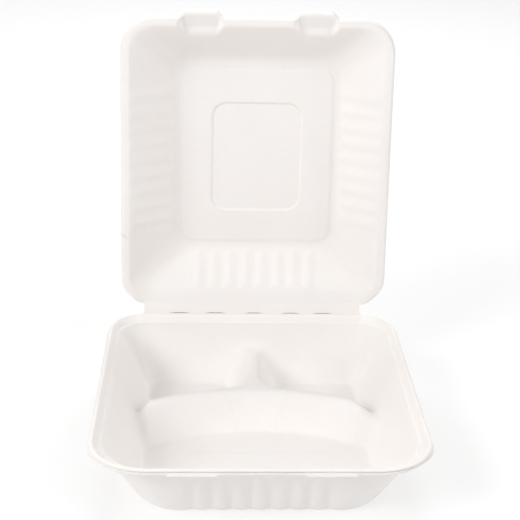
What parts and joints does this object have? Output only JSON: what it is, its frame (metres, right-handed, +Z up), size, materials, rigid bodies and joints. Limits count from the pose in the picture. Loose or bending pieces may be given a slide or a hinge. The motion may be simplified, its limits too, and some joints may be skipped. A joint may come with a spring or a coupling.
{
  "type": "bagasse takeaway box",
  "caption": "Moulded pulp takeaway box: a tray divided into compartments, and a domed lid with lock tabs that turns on a perforated fold along the back.",
  "frame": {"origin": "underside of the tray's floor, in the middle of the tray", "axes": "+Z up, +Y towards the fold, +X to the right seen from the front"},
  "size_m": [0.2052, 0.2658, 0.2594],
  "materials": {
    "pulp": "matt off-white pressed pulp with faint fibres"
  },
  "bodies": {
    "tray_body": {"base_tray": "pulp"},
    "lid_body": {"lid": "pulp"}
  },
  "joints": [
    {"name": "lid_fold", "type": "hinge", "parent": "tray_body", "child": "lid_body", "pos_m": [0, 0.1091, 0.044], "axis": [1, 0, 0], "range_deg": [-84.2, 95.8]}
  ]
}
